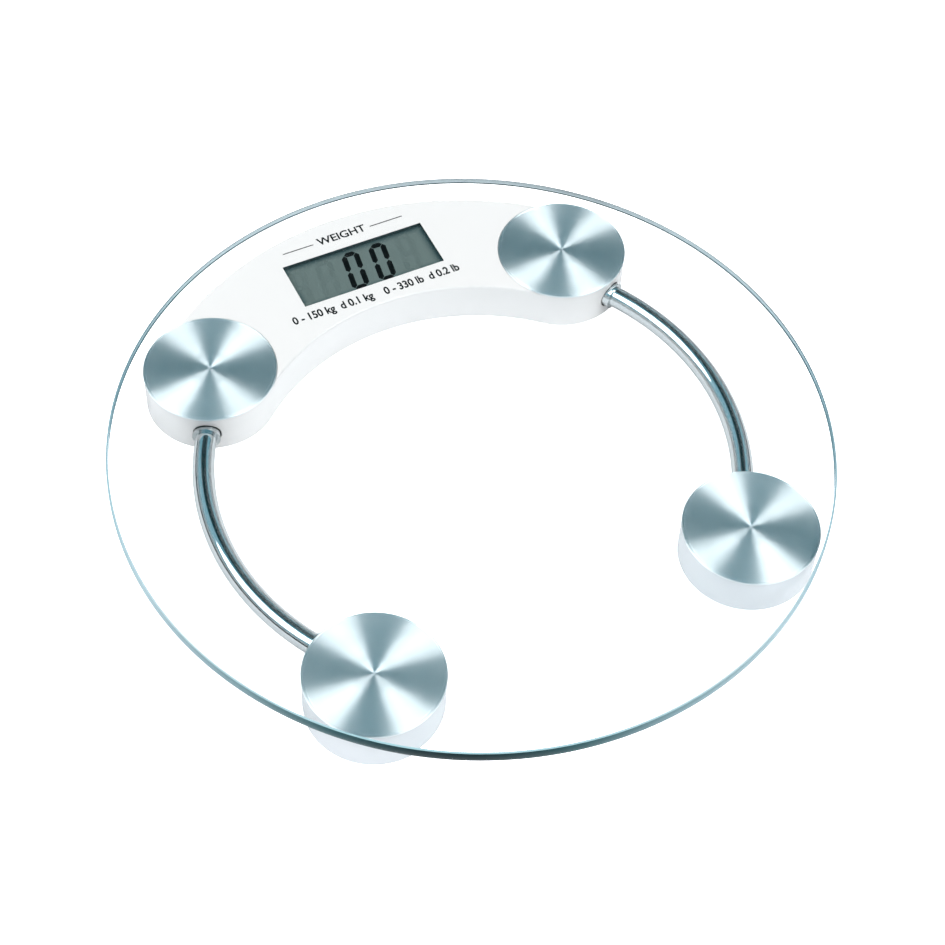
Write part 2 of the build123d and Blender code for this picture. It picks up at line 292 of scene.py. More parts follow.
def grainedMaterial(name, light, dark, roughness, spread, grain, bump, metallic=0.0, coat=0.0, scuff=0.0):
    # a colour that drifts between two close tones, with grain in the bump and marks in the gloss
    material, tree, shader = startMaterial(name)
    surface = placeGroup(tree, grainGroup, Grain_Size=grain, Mottle_Size=max(grain * 25, 6.0))
    marks = placeGroup(tree, scuffGroup, Amount=scuff)
    tone = mixColour(tree, surface.outputs["Mottle"], (*light, 1.0), (*dark, 1.0))
    tree.links.new(tone, shader.inputs["Base Color"])
    gloss = rangeNode(tree, surface.outputs["Mottle"], 0.25, 0.75, roughness - spread, roughness + spread)
    gloss = mathNode(tree, "ADD", gloss, marks.outputs["Mask"], clamp=True)
    tree.links.new(gloss, shader.inputs["Roughness"])
    tree.links.new(bumpFrom(tree, surface.outputs["Height"], bump, grain * 0.0003), shader.inputs["Normal"])
    shader.inputs["Metallic"].default_value = metallic
    shader.inputs["Coat Weight"].default_value = coat
    shader.inputs["Coat Roughness"].default_value = 0.06
    return material


glassFinish = {
    "scuffSpacing": 14.0,
    "scuffAmount": 0.01,
    "bending": 1.51,
    "tint": (0.20, 0.66, 0.70, 1),
    "tintDensity": 4.0,
}


def makeGlassMaterial(look):
    # clear soda-lime glass, teal only over a long path; matte surfaces get their light straight through it
    material, tree, shader = startMaterial("platformGlass")
    marks = placeGroup(tree, scuffGroup, Spacing=look["scuffSpacing"], Amount=look["scuffAmount"])
    tree.links.new(marks.outputs["Mask"], shader.inputs["Roughness"])
    shader.inputs["Base Color"].default_value = (1, 1, 1, 1)
    shader.inputs["Transmission Weight"].default_value = 1.0
    shader.inputs["IOR"].default_value = look["bending"]
    volume = addNode(tree, "ShaderNodeVolumeAbsorption")
    volume.inputs["Color"].default_value = look["tint"]
    volume.inputs["Density"].default_value = look["tintDensity"]
    output = tree.nodes["Material Output"]
    tree.links.new(volume.outputs["Volume"], output.inputs["Volume"])
    path = addNode(tree, "ShaderNodeLightPath")
    passing = mathNode(tree, "MAXIMUM", path.outputs["Is Shadow Ray"], path.outputs["Is Diffuse Ray"])
    clear = addNode(tree, "ShaderNodeBsdfTransparent")
    mix = addNode(tree, "ShaderNodeMixShader")
    tree.links.new(passing, mix.inputs["Fac"])
    tree.links.new(shader.outputs["BSDF"], mix.inputs[1])
    tree.links.new(clear.outputs["BSDF"], mix.inputs[2])
    tree.links.new(mix.outputs["Shader"], output.inputs["Surface"])
    return material


# painted shade and painted highlight round the glass rim, set by direction in the object
edgeTones = {
    "paintedShadeSide": (-0.478, -0.878),
    "chamfer": 0.0004,
    "band": [
        (0.0, (0.70, 0.80, 0.84)),
        (0.22, (0.58, 0.70, 0.75)),
        (0.5, (0.20, 0.38, 0.45)),
        (0.78, (0.36, 0.50, 0.55)),
        (0.92, (0.17, 0.28, 0.31)),
        (0.975, (0.03, 0.09, 0.10)),
        (1.0, (0.004, 0.018, 0.022)),
    ],
    "paintedChamferLight": [
        (0.0, (0.02, 0.05, 0.06)),
        (0.3, (0.04, 0.11, 0.14)),
        (0.6, (0.30, 0.46, 0.52)),
        (0.85, (0.48, 0.60, 0.64)),
        (1.0, (0.30, 0.50, 0.55)),
    ],
    "bloom": (0.5, 0.62, 0.66, 1),
    "bloomShare": 0.03,
    "roughness": (0.14, 0.26),
    "specular": 0.08,
    "grind": {"Grain_Size": 0.25, "Mottle_Size": 9.0},
}


def makeEdgeMaterial(look):
    # ground glass edge as an opaque band of painted shade and painted reflection: the tone runs from near
    # black on the side that faces the camera to pale blue on the far side, and the chamfer stops are
    # painted highlight lines
    material, tree, shader = startMaterial("groundEdge")
    low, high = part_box("glass_platform")
    split = addNode(tree, "ShaderNodeSeparateXYZ")
    tree.links.new(addNode(tree, "ShaderNodeTexCoord").outputs["Object"], split.inputs["Vector"])
    radius = (high.x - low.x) / 2
    facing = mathNode(tree, "MULTIPLY", split.outputs["X"], look["paintedShadeSide"][0] / radius)
    facing = mathNode(tree, "MULTIPLY_ADD", split.outputs["Y"], look["paintedShadeSide"][1] / radius, facing)
    place = rangeNode(tree, facing, -1.0, 1.0, 0.0, 1.0)
    middle = (low.z + high.z) / 2
    away = mathNode(tree, "ABSOLUTE", mathNode(tree, "SUBTRACT", split.outputs["Z"], middle))
    onChamfer = mathNode(tree, "GREATER_THAN", away, (high.z - low.z) / 2 - look["chamfer"])
    tones = []
    for stops in (look["band"], look["paintedChamferLight"]):
        ramp = addNode(tree, "ShaderNodeValToRGB")
        ramp.color_ramp.elements.remove(ramp.color_ramp.elements[1])
        ramp.color_ramp.elements[0].position = stops[0][0]
        ramp.color_ramp.elements[0].color = (*stops[0][1], 1)
        for position, colour in stops[1:]:
            ramp.color_ramp.elements.new(position).color = (*colour, 1)
        tree.links.new(place, ramp.inputs["Fac"])
        tones.append(ramp.outputs["Color"])
    grind = placeGroup(tree, grainGroup, **look["grind"])
    tone = mixColour(tree, onChamfer, tones[0], tones[1])
    share = mathNode(tree, "MULTIPLY", grind.outputs["Mottle"], look["bloomShare"])
    paler = mixColour(tree, share, tone, look["bloom"])
    tree.links.new(paler, shader.inputs["Base Color"])
    gloss = rangeNode(tree, grind.outputs["Mottle"], 0.3, 0.7, *look["roughness"])
    tree.links.new(gloss, shader.inputs["Roughness"])
    shader.inputs["Specular IOR Level"].default_value = look["specular"]
    tree.links.new(bumpFrom(tree, grind.outputs["Height"], 0.05, 0.00003), shader.inputs["Normal"])
    return material


spunFinish = {
    "valley": (0.70, 0.75, 0.77, 1),
    "ridge": (0.86, 0.89, 0.90, 1),
    "roughness": (0.35, 0.41),
    "lineStrength": 0.12,
    "lineDepth": 0.00002,
}


def makeSpunMaterial(look):
    # spun aluminium: highlights spread across the lathe lines
    material, tree, shader = startMaterial("spunAluminium")
    lines = placeGroup(tree, spunGroup)
    tone = mixColour(tree, lines.outputs["Tone"], look["valley"], look["ridge"])
    tree.links.new(tone, shader.inputs["Base Color"])
    shader.inputs["Metallic"].default_value = 1.0
    gloss = rangeNode(tree, lines.outputs["Tone"], 0.3, 0.7, *look["roughness"])
    tree.links.new(gloss, shader.inputs["Roughness"])
    shader.inputs["Anisotropic"].default_value = 1.0
    tangent = addNode(tree, "ShaderNodeTangent", direction_type="UV_MAP", uv_map="spin")
    tree.links.new(tangent.outputs["Tangent"], shader.inputs["Tangent"])
    ridges = bumpFrom(tree, lines.outputs["Height"], look["lineStrength"], look["lineDepth"])
    tree.links.new(ridges, shader.inputs["Normal"])
    return material


boardFinish = {
    "trackScale": 90,
    "trackWidth": 0.06,
    "mask": ((0.012, 0.12, 0.045, 1), (0.015, 0.15, 0.06, 1)),
    "track": (0.05, 0.25, 0.10, 1),
    "roughness": 0.35,
}


def makeBoardMaterial(look):
    # green solder mask with faint copper tracks under it
    material, tree, shader = startMaterial("boardLaminate")
    place = addNode(tree, "ShaderNodeTexCoord").outputs["Object"]
    tracks = addNode(tree, "ShaderNodeTexBrick")
    tracks.inputs["Scale"].default_value = look["trackScale"]
    tracks.inputs["Mortar Size"].default_value = look["trackWidth"]
    tracks.inputs["Color1"].default_value = look["mask"][0]
    tracks.inputs["Color2"].default_value = look["mask"][1]
    tracks.inputs["Mortar"].default_value = look["track"]
    tree.links.new(place, tracks.inputs["Vector"])
    tree.links.new(tracks.outputs["Color"], shader.inputs["Base Color"])
    shader.inputs["Roughness"].default_value = look["roughness"]
    return material


zebraFinish = {
    "layerScale": 900,
    "conducting": (0.03, 0.03, 0.035, 1),
    "insulating": (0.55, 0.42, 0.45, 1),
    "roughness": 0.8,
}


def makeZebraMaterial(look):
    # alternate conducting and insulating layers across the strip
    material, tree, shader = startMaterial("connectorRubber")
    place = addNode(tree, "ShaderNodeTexCoord").outputs["Object"]
    stripes = addNode(tree, "ShaderNodeTexWave", bands_direction="X")
    stripes.inputs["Scale"].default_value = look["layerScale"]
    tree.links.new(place, stripes.inputs["Vector"])
    tone = mixColour(tree, stripes.outputs["Fac"], look["conducting"], look["insulating"])
    tree.links.new(tone, shader.inputs["Base Color"])
    shader.inputs["Roughness"].default_value = look["roughness"]
    return material


lcdFinish = {
    "halfWidth": 0.0365,
    "halfDepth": 0.01375,
    "fade": 0.0042,
    "bandScale": 160,
    "bands": ((0.110, 0.150, 0.145, 1), (0.124, 0.166, 0.160, 1)),
    # painted shade of the window recess along the display border
    "paintedRecessShade": (0.018, 0.048, 0.054, 1),
    "roughness": 0.35,
    "specular": 0.2,
}


def makeLcdMaterial(look):
    # grey-green liquid-crystal glass with faint vertical electrode bands, darker at the border as painted
    # shade from the window recess
    material, tree, shader = startMaterial("lcdGlass")
    place = addNode(tree, "ShaderNodeTexCoord").outputs["Object"]
    split = addNode(tree, "ShaderNodeSeparateXYZ")
    tree.links.new(place, split.inputs["Vector"])
    edges = []
    middle = nodeCentre("lcd_holder")
    for axis, half, centre in (("X", look["halfWidth"], 0.0), ("Y", look["halfDepth"], middle.y)):
        away = mathNode(tree, "ABSOLUTE", mathNode(tree, "SUBTRACT", split.outputs[axis], centre))
        edges.append(rangeNode(tree, away, half - look["fade"], half, 0.0, 1.0))
    paintedRecessShade = mathNode(tree, "MAXIMUM", edges[0], edges[1])
    paintedRecessShade = mathNode(tree, "POWER", paintedRecessShade, 1.5)
    bands = addNode(tree, "ShaderNodeTexNoise", noise_dimensions="1D")
    bands.inputs["Scale"].default_value = look["bandScale"]
    tree.links.new(split.outputs["X"], bands.inputs["W"])
    face = mixColour(tree, bands.outputs["Fac"], *look["bands"])
    tone = mixColour(tree, paintedRecessShade, face, look["paintedRecessShade"])
    tree.links.new(tone, shader.inputs["Base Color"])
    shader.inputs["Roughness"].default_value = look["roughness"]
    shader.inputs["Specular IOR Level"].default_value = look["specular"]
    return material


# painted shade on the walls of the display window recess
paintedRevealShade = {
    "halfWidth": 0.0372,
    "halfDepth": 0.01445,
    "below": 0.00008,
    "reach": 0.003,
    "tone": (0.035, 0.060, 0.064, 1),
}


def makeHousingMaterial(look):
    # the white gloss, with the reveal walls of the display window painted dark as painted shade inside the
    # recess
    material = grainedMaterial(
        "housingGloss", (0.83, 0.815, 0.81), (0.815, 0.80, 0.795),
        roughness=0.20, spread=0.03, grain=0.5, bump=0.03, coat=0.4, scuff=0.03,
    )
    tree = material.node_tree
    shader = tree.nodes["Principled BSDF"]
    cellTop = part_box("lcd_cell")[1].z
    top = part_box("housing_top_shell")[1].z
    split = addNode(tree, "ShaderNodeSeparateXYZ")
    tree.links.new(addNode(tree, "ShaderNodeTexCoord").outputs["Object"], split.inputs["Vector"])
    fromMiddle = mathNode(tree, "SUBTRACT", split.outputs["Y"], nodeCentre("lcd_holder").y)
    limits = [
        ("LESS_THAN", mathNode(tree, "ABSOLUTE", split.outputs["X"]), look["halfWidth"]),
        ("LESS_THAN", mathNode(tree, "ABSOLUTE", fromMiddle), look["halfDepth"]),
        ("LESS_THAN", split.outputs["Z"], top - look["below"]),
        ("GREATER_THAN", split.outputs["Z"], cellTop - look["reach"]),
    ]
    inside = mathNode(tree, *limits[0])
    for limit in limits[1:]:
        inside = mathNode(tree, "MULTIPLY", inside, mathNode(tree, *limit))
    white = shader.inputs["Base Color"].links[0].from_socket
    tree.links.new(mixColour(tree, inside, white, look["tone"]), shader.inputs["Base Color"])
    return material


materials = {
    "platform_glass": makeGlassMaterial(glassFinish),
    "spun_aluminium": makeSpunMaterial(spunFinish),
    # a darker, bluer copy of the housing white: painted shade on the white parts in this slot
    "white_gloss": grainedMaterial(
        "whiteGlossShadedCopy", (0.72, 0.75, 0.78), (0.70, 0.735, 0.77),
        roughness=0.20, spread=0.03, grain=0.5, bump=0.03, coat=0.4, scuff=0.03,
    ),
    "white_matte": grainedMaterial(
        "whiteMatte", (0.83, 0.83, 0.82), (0.80, 0.80, 0.79),
        roughness=0.48, spread=0.06, grain=0.35, bump=0.35, scuff=0.08,
    ),
    "chrome_tube": grainedMaterial(
        "chromeTube", (0.60, 0.63, 0.64), (0.54, 0.57, 0.58),
        roughness=0.06, spread=0.015, grain=0.8, bump=0.01, metallic=1.0, scuff=0.02,
    ),
    "grip_rubber": grainedMaterial(
        "gripRubber", (0.035, 0.036, 0.038), (0.06, 0.06, 0.062),
        roughness=0.75, spread=0.08, grain=0.5, bump=0.5, scuff=0.1,
    ),
    "silicone": grainedMaterial(
        "silicone", (0.62, 0.60, 0.54), (0.55, 0.53, 0.48),
        roughness=0.4, spread=0.05, grain=0.6, bump=0.1,
    ),
    "cell_steel": grainedMaterial(
        "cellSteel", (0.56, 0.57, 0.58), (0.46, 0.47, 0.48),
        roughness=0.32, spread=0.08, grain=0.3, bump=0.2, metallic=1.0, scuff=0.15,
    ),
    "screw_steel": grainedMaterial(
        "screwSteel", (0.55, 0.56, 0.58), (0.44, 0.45, 0.47),
        roughness=0.28, spread=0.06, grain=0.3, bump=0.15, metallic=1.0, scuff=0.2,
    ),
    "lcd_glass": makeLcdMaterial(lcdFinish),
    "reflector_film": grainedMaterial(
        "reflectorFilm", (0.50, 0.55, 0.53), (0.45, 0.50, 0.48),
        roughness=0.5, spread=0.05, grain=0.3, bump=0.1,
    ),
    "connector_rubber": makeZebraMaterial(zebraFinish),
    "board_laminate": makeBoardMaterial(boardFinish),
    "black_resin": grainedMaterial(
        "blackResin", (0.012, 0.012, 0.014), (0.03, 0.03, 0.03),
        roughness=0.35, spread=0.08, grain=0.5, bump=0.2,
    ),
    "contact_metal": grainedMaterial(
        "contactMetal", (0.70, 0.64, 0.48), (0.62, 0.57, 0.43),
        roughness=0.25, spread=0.05, grain=0.3, bump=0.1, metallic=1.0,
    ),
    "coin_steel": grainedMaterial(
        "coinSteel", (0.66, 0.66, 0.65), (0.58, 0.58, 0.58),
        roughness=0.22, spread=0.05, grain=0.25, bump=0.1, metallic=1.0, scuff=0.1,
    ),
    "wire_sheath": grainedMaterial(
        "wireSheath", (0.55, 0.05, 0.04), (0.48, 0.04, 0.035),
        roughness=0.45, spread=0.06, grain=0.4, bump=0.1,
    ),
}
inkMaterial = grainedMaterial(
    "legendInk", (0.003, 0.004, 0.005), (0.010, 0.011, 0.012),
    roughness=0.5, spread=0.08, grain=0.2, bump=0.1,
)
segmentMaterial = grainedMaterial(
    "segmentInk", (0.001, 0.001, 0.001), (0.003, 0.003, 0.003),
    roughness=0.35, spread=0.05, grain=0.3, bump=0.05,
)
inkSpecular = 0.1
for inked in (inkMaterial, segmentMaterial):
    inked.node_tree.nodes["Principled BSDF"].inputs["Specular IOR Level"].default_value = inkSpecular
ghostMaterial = grainedMaterial(
    "ghostSegment", (0.102, 0.140, 0.135), (0.108, 0.147, 0.142),
    roughness=0.3, spread=0.05, grain=0.3, bump=0.05,
)

for part in frame["record"]["subparts"]:
    mesh = cadNodes[part["node"]].data
    mesh.materials.clear()
    mesh.materials.append(materials[part["material_slot"]])
cadNodes["housing_top_shell"].data.materials[0] = makeHousingMaterial(paintedRevealShade)
print("materials ready:", len(bpy.data.materials))


glassSet = {"steps": 288, "chamfer": 0.0008, "soften": 0.00025, "lift": 0.00005}


def makeGlass(size):
    low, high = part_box("glass_platform")
    radius = (high.x - low.x) / 2
    bottom, top = low.z + size["lift"], high.z
    cut, soft = size["chamfer"], size["soften"]
    profile = [
        (radius - cut - 2 * soft, bottom),  # keeps the shading of the flat face flat
        (radius - cut - soft, bottom),
        (radius - cut + soft, bottom + soft),
        (radius - soft, bottom + cut - soft),
        (radius, bottom + cut + soft),
        (radius, top - cut - soft),
        (radius - soft, top - cut + soft),
        (radius - cut + soft, top - soft),
        (radius - cut - soft, top),
        (radius - cut - 2 * soft, top),
    ]
    mesh = turned("platformGlass", profile, size["steps"], Vector())
    piece = newPiece("platformGlass", mesh, materials["platform_glass"])
    mesh.materials.append(makeEdgeMaterial(edgeTones))
    for face in mesh.polygons:
        if face.center.xy.length > radius - cut - soft:
            face.material_index = 1
    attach(piece, "scale_body")
    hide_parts("glass_platform")


makeGlass(glassSet)
print("glass ready")


discSet = {
    "steps": 192,
    "dot": 0.00045,
    "dish": 0.00012,
    "rimGroove": 0.0011,
    "grooveMouth": 0.0003,
    "grooveFloor": 0.00015,
    "chamfer": 0.0003,
}


def makeDisc(node, size):
    low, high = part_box(node)
    centre = (low + high) / 2
    radius = (high.x - low.x) / 2
    top, bottom = high.z, low.z
    groove = radius - size["rimGroove"]
    profile = [
        (size["dot"], bottom),
        (radius - size["chamfer"], bottom),
        (radius, bottom + size["chamfer"]),
        (radius, top - size["chamfer"]),
        (radius - size["chamfer"], top),
        (groove + size["grooveMouth"], top),
        (groove + size["grooveFloor"], top - size["dish"]),
        (groove - size["grooveFloor"], top - size["dish"]),
        (groove - size["grooveMouth"], top),
        (radius * 0.66, top),
        (radius * 0.33, top),
        (size["dot"] * 2, top),
        (size["dot"], top - size["dish"]),
    ]
    mesh = turned(node, profile, size["steps"], centre)
    piece = newPiece(node.replace("_", "-") + "-spun", mesh, materials["spun_aluminium"])
    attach(piece, "scale_body")
    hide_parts(node)


feet = ("front_left", "front_right", "rear_left", "rear_right")
for foot in feet:
    makeDisc(foot + "_disc", discSet)
print("discs ready")


figureSet = {
    "height": 0.0242,
    "width": 0.0090,
    "stroke": 0.0027,
    "gap": 0.00022,
    "slant": 0.15,
    "pitch": 0.0142,
    "firstX": -0.0045,
    "middleY": 0.1200,
    "lift": 0.00003,
    "thickness": 0.00003,
}


def segmentOutline(start, end, stroke, gap):
    # long hexagon between two corners of the figure
    along = (end - start).normalized()
    across = Vector((-along.y, along.x))
    half = stroke / 2
    first, last = start + along * gap, end - along * gap
    return [
        first,
        first + along * half + across * half,
        last - along * half + across * half,
        last,
        last - along * half - across * half,
        first + along * half - across * half,
    ]


def figureSegments(size):
    halfW = (size["width"] - size["stroke"]) / 2
    halfH = (size["height"] - size["stroke"]) / 2
    corners = {
        "topLeft": Vector((-halfW, halfH)),
        "topRight": Vector((halfW, halfH)),
        "left": Vector((-halfW, 0)),
        "right": Vector((halfW, 0)),
        "bottomLeft": Vector((-halfW, -halfH)),
        "bottomRight": Vector((halfW, -halfH)),
    }
    runs = [
        ("topLeft", "topRight"),
        ("topLeft", "left"),
        ("topRight", "right"),
        ("left", "bottomLeft"),
        ("right", "bottomRight"),
        ("bottomLeft", "bottomRight"),
        ("left", "right"),
    ]
    return [segmentOutline(corners[a], corners[b], size["stroke"], size["gap"]) for a, b in runs]


def makeFigures(name, places, kept, material, size):
    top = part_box("lcd_cell")[1].z
    low, high = top + size["lift"], top + size["lift"] + size["thickness"]
    bm = bmesh.new()
    for place in places:
        middleX = size["firstX"] + place * size["pitch"]
        for index, outline in enumerate(figureSegments(size)):
            if index not in kept:
                continue
            points = [(middleX + p.x + p.y * size["slant"], size["middleY"] + p.y) for p in outline]
            under = [bm.verts.new((x, y, low)) for x, y in points]
            over = [bm.verts.new((x, y, high)) for x, y in points]
            bm.faces.new(over)
            bm.faces.new(under[::-1])
            for step in range(len(points)):
                ahead = (step + 1) % len(points)
                bm.faces.new((under[step], under[ahead], over[ahead], over[step]))
    piece = newPiece(name, meshFrom(bm, name), material)
    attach(piece, "scale_body")


makeFigures("lit-figures", (0, 1), (0, 1, 2, 3, 4, 5), segmentMaterial, figureSet)
makeFigures("resting-figures", (-2, -1, 2), range(7), ghostMaterial, figureSet)
print("display ready")


legendSet = {
    "words": [  # words, middle, height, width
        ("WEIGHT", (-0.0020, 0.1422), 0.0046, 0.0252),
        ("0 - 150 kg  d 0.1 kg    0 - 330 lb  d 0.2 lb", (-0.0022, 0.1002), 0.0046, 0.0867),
    ],
    "rules": [(-0.0330, -0.0170, 0.1420), (0.0130, 0.0302, 0.1420)],
    "bold": (0.00012, 0.00018),
    "ruleDepth": 0.00052,
    "thickness": 0.00004,
    "capitalShare": 0.72,
}


def makeLegend(size):
    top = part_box("housing_top_shell")[1].z
    meshes = []
    for index, (words, (x, y), height, width) in enumerate(size["words"]):
        curve = bpy.data.curves.new("legendWords", "FONT")
        curve.body = words
        curve.align_x, curve.align_y = "CENTER", "CENTER"
        curve.size = height / size["capitalShare"]
        curve.offset = size["bold"][index]
        curve.extrude = size["thickness"] / 2
        holder = bpy.data.objects.new("legendHolder", curve)
        scene.collection.objects.link(holder)
        bpy.context.view_layer.update()
        graph = bpy.context.evaluated_depsgraph_get()
        mesh = bpy.data.meshes.new_from_object(holder.evaluated_get(graph), depsgraph=graph)
        bpy.data.objects.remove(holder)
        across = [vert.co.x for vert in mesh.vertices]
        stretch = Matrix.Diagonal((width / (max(across) - min(across)), 1, 1, 1))
        mesh.transform(Matrix.Translation((x, y, top + size["thickness"] / 2)) @ stretch)
        meshes.append(mesh)
    bm = bmesh.new()
    for mesh in meshes:
        bm.from_mesh(mesh)
    for start, end, y in size["rules"]:
        place = Matrix.Translation(((start + end) / 2, y, top + size["thickness"] / 2))
        shape = Matrix.Diagonal((end - start, size["ruleDepth"], size["thickness"], 1))
        bmesh.ops.create_cube(bm, size=1, matrix=place @ shape)
    piece = newPiece("printed-legend", meshFrom(bm, "printedLegend"), inkMaterial)
    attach(piece, "scale_body")


makeLegend(legendSet)
print("legend ready")


tubeSet = {"along": 120, "around": 40, "radius": 0.005, "wall": 0.001}


def makeTube(node, size):
    # rebuilt along the node's own arc, from the box that the node fills
    low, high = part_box(node)
    side = -1 if high.x < 0 else 1
    middleY, middleZ = (low.y + high.y) / 2, (low.z + high.z) / 2
    reach = (high.y - low.y) / 2
    outerX = max(abs(low.x), abs(high.x))
    arc = outerX - size["radius"]
    halfTurn = math.asin(min(1.0, reach / (arc + size["radius"])))
    bm = bmesh.new()
    shells = []
    for radius in (size["radius"], size["radius"] - size["wall"]):
        rings = []
        for step in range(size["along"] + 1):
            angle = halfTurn * (2 * step / size["along"] - 1)
            ring = []
            for turn in range(size["around"]):
                spin = 2 * math.pi * turn / size["around"]
                out = arc + radius * math.cos(spin)
                x, y = side * out * math.cos(angle), middleY + out * math.sin(angle)
                ring.append(bm.verts.new((x, y, middleZ + radius * math.sin(spin))))
            rings.append(ring)
        shells.append(rings)
    bands = [(rings[step], rings[step + 1]) for rings in shells for step in range(size["along"])]
    bands += [(shells[0][end], shells[1][end]) for end in (0, -1)]
    for first, last in bands:
        for turn in range(size["around"]):
            ahead = (turn + 1) % size["around"]
            bm.faces.new((first[turn], first[ahead], last[ahead], last[turn]))
    piece = newPiece(node.replace("_", "-") + "-chromed", meshFrom(bm, node), materials["chrome_tube"])
    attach(piece, "scale_body")
    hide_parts(node)


for node in ("left_tube", "right_tube"):
    makeTube(node, tubeSet)
print("tubes ready")


def geometryTree(name, inputs):
    tree = bpy.data.node_groups.new(name, "GeometryNodeTree")
    tree.is_modifier = True
    tree.interface.new_socket("Geometry", in_out="INPUT", socket_type="NodeSocketGeometry")
    for label, kind, value in inputs:
        socket = tree.interface.new_socket(label, in_out="INPUT", socket_type=kind)
        if value is not None:
            socket.default_value = value
    tree.interface.new_socket("Geometry", in_out="OUTPUT", socket_type="NodeSocketGeometry")
    return tree, tree.nodes.new("NodeGroupInput"), tree.nodes.new("NodeGroupOutput")


def closeTree(tree, inside, outside, instances):
    realize = addNode(tree, "GeometryNodeRealizeInstances")
    paint = addNode(tree, "GeometryNodeSetMaterial")
    tree.links.new(instances, realize.inputs["Geometry"])
    tree.links.new(realize.outputs["Geometry"], paint.inputs["Geometry"])
    tree.links.new(inside.outputs["Finish"], paint.inputs["Material"])
    tree.links.new(paint.outputs["Geometry"], outside.inputs["Geometry"])


def makeScatterTree():
    # one copy of a model at every point, each turned by its own amount
    tree, inside, outside = geometryTree(
        "screwsAtPoints",
        [
            ("Model", "NodeSocketObject", None),
            ("Largest Turn", "NodeSocketFloat", 1.57),
            ("Seed", "NodeSocketInt", 7),
            ("Finish", "NodeSocketMaterial", None),
        ],
    )
    model = addNode(tree, "GeometryNodeObjectInfo")
    tree.links.new(inside.outputs["Model"], model.inputs["Object"])
    turn = addNode(tree, "FunctionNodeRandomValue", data_type="FLOAT")
    lowest, highest = [socket for socket in turn.inputs if socket.type == "VALUE"][:2]
    lowest.default_value = 0
    tree.links.new(inside.outputs["Largest Turn"], highest)
    tree.links.new(inside.outputs["Seed"], turn.inputs["Seed"])
    drawn = next(socket for socket in turn.outputs if socket.type == "VALUE")
    spin = addNode(tree, "ShaderNodeCombineXYZ")
    tree.links.new(drawn, spin.inputs["Z"])
    copies = addNode(tree, "GeometryNodeInstanceOnPoints")
    tree.links.new(inside.outputs["Geometry"], copies.inputs["Points"])
    tree.links.new(model.outputs["Geometry"], copies.inputs["Instance"])
    tree.links.new(spin.outputs["Vector"], copies.inputs["Rotation"])
    closeTree(tree, inside, outside, copies.outputs["Instances"])
    return tree


def makeTreadTree():
    # short ribs across a round groove, evenly spaced and pointing at the middle
    tree, inside, outside = geometryTree(
        "ribsInGroove",
        [
            ("Radius", "NodeSocketFloat", 0.01),
            ("Count", "NodeSocketInt", 24),
            ("Rib Size", "NodeSocketVector", (0.001, 0.0004, 0.0003)),
            ("Finish", "NodeSocketMaterial", None),
        ],
    )
    ring = addNode(tree, "GeometryNodeMeshCircle")
    tree.links.new(inside.outputs["Count"], ring.inputs["Vertices"])
    tree.links.new(inside.outputs["Radius"], ring.inputs["Radius"])
    rib = addNode(tree, "GeometryNodeMeshCube")
    tree.links.new(inside.outputs["Rib Size"], rib.inputs["Size"])
    outward = addNode(tree, "FunctionNodeAlignRotationToVector", axis="X")
    tree.links.new(addNode(tree, "GeometryNodeInputPosition").outputs["Position"], outward.inputs["Vector"])
    copies = addNode(tree, "GeometryNodeInstanceOnPoints")
    tree.links.new(ring.outputs["Mesh"], copies.inputs["Points"])
    tree.links.new(rib.outputs["Mesh"], copies.inputs["Instance"])
    tree.links.new(outward.outputs["Rotation"], copies.inputs["Rotation"])
    closeTree(tree, inside, outside, copies.outputs["Instances"])
    return tree


def growMesh(tree, points, values):
    # runs a tree on loose points and returns the plain mesh it makes
    seedMesh = bpy.data.meshes.new("seedPoints")
    seedMesh.from_pydata(points, [], [])
    carrier = bpy.data.objects.new("seedPoints", seedMesh)
    scene.collection.objects.link(carrier)
    modifier = carrier.modifiers.new("grow", "NODES")
    modifier.node_group = tree
    for item in tree.interface.items_tree:
        if item.in_out == "INPUT" and item.name in values:
            modifier[item.identifier] = values[item.name]
    carrier.update_tag()
    bpy.context.view_layer.update()
    graph = bpy.context.evaluated_depsgraph_get()
    mesh = bpy.data.meshes.new_from_object(carrier.evaluated_get(graph), depsgraph=graph)
    carrier.modifiers.remove(modifier)
    bpy.data.objects.remove(carrier)
    return mesh


def islandBoxes(name):
    # low and high corner of each separate solid in a CAD node
    bm = bmesh.new()
    bm.from_mesh(cadNodes[name].data)
    bm.transform(cadNodes[name].matrix_world)
    bmesh.ops.remove_doubles(bm, verts=bm.verts, dist=1e-6)
    left, boxes = set(bm.verts), []
    while left:
        island, waiting = set(), [min(left, key=lambda vert: vert.index)]
        while waiting:
            vert = waiting.pop()
            if vert not in island:
                island.add(vert)
                waiting.extend(edge.other_vert(vert) for edge in vert.link_edges)
        left -= island
        spans = list(zip(*(vert.co for vert in island)))
        boxes.append([Vector([pick(span) for span in spans]) for pick in (min, max)])
    bm.free()
    return sorted(boxes, key=lambda box: (round(box[0].x, 5), round(box[0].y, 5)))


screwSet = {
    "heads": {"housing_screws": 0.0009, "board_screws": 0.0011, "carrier_screws": 0.0008},
    "crown": [(0.8, 0.0), (0.94, 0.12), (1.0, 0.38), (1.0, 1.0)],
    "steps": 24,
    "shaft": 0.0011,
    "root": 0.00085,
    "pitch": 0.0006,
    "neck": 0.0004,
    "point": 0.0015,
    "taper": 0.0010,
    "tip": 0.3,
    "armLength": 0.58,
    "armWidth": 0.13,
    "recess": 0.45,
    "recessTaper": 0.85,
    "inset": 0.0001,
}


def screwProfile(headRadius, headHeight, length, size):
    root, pitch = size["root"], size["pitch"]
    profile = [(headRadius * out, headHeight * up) for out, up in size["crown"]]
    profile.append((root, headHeight))
    height = headHeight + size["neck"]
    while height < length - size["point"]:
        profile += [(root, height), (size["shaft"], height + pitch * 0.5)]
        height += pitch
    return profile + [(root, length - size["taper"]), (root * size["tip"], length)]


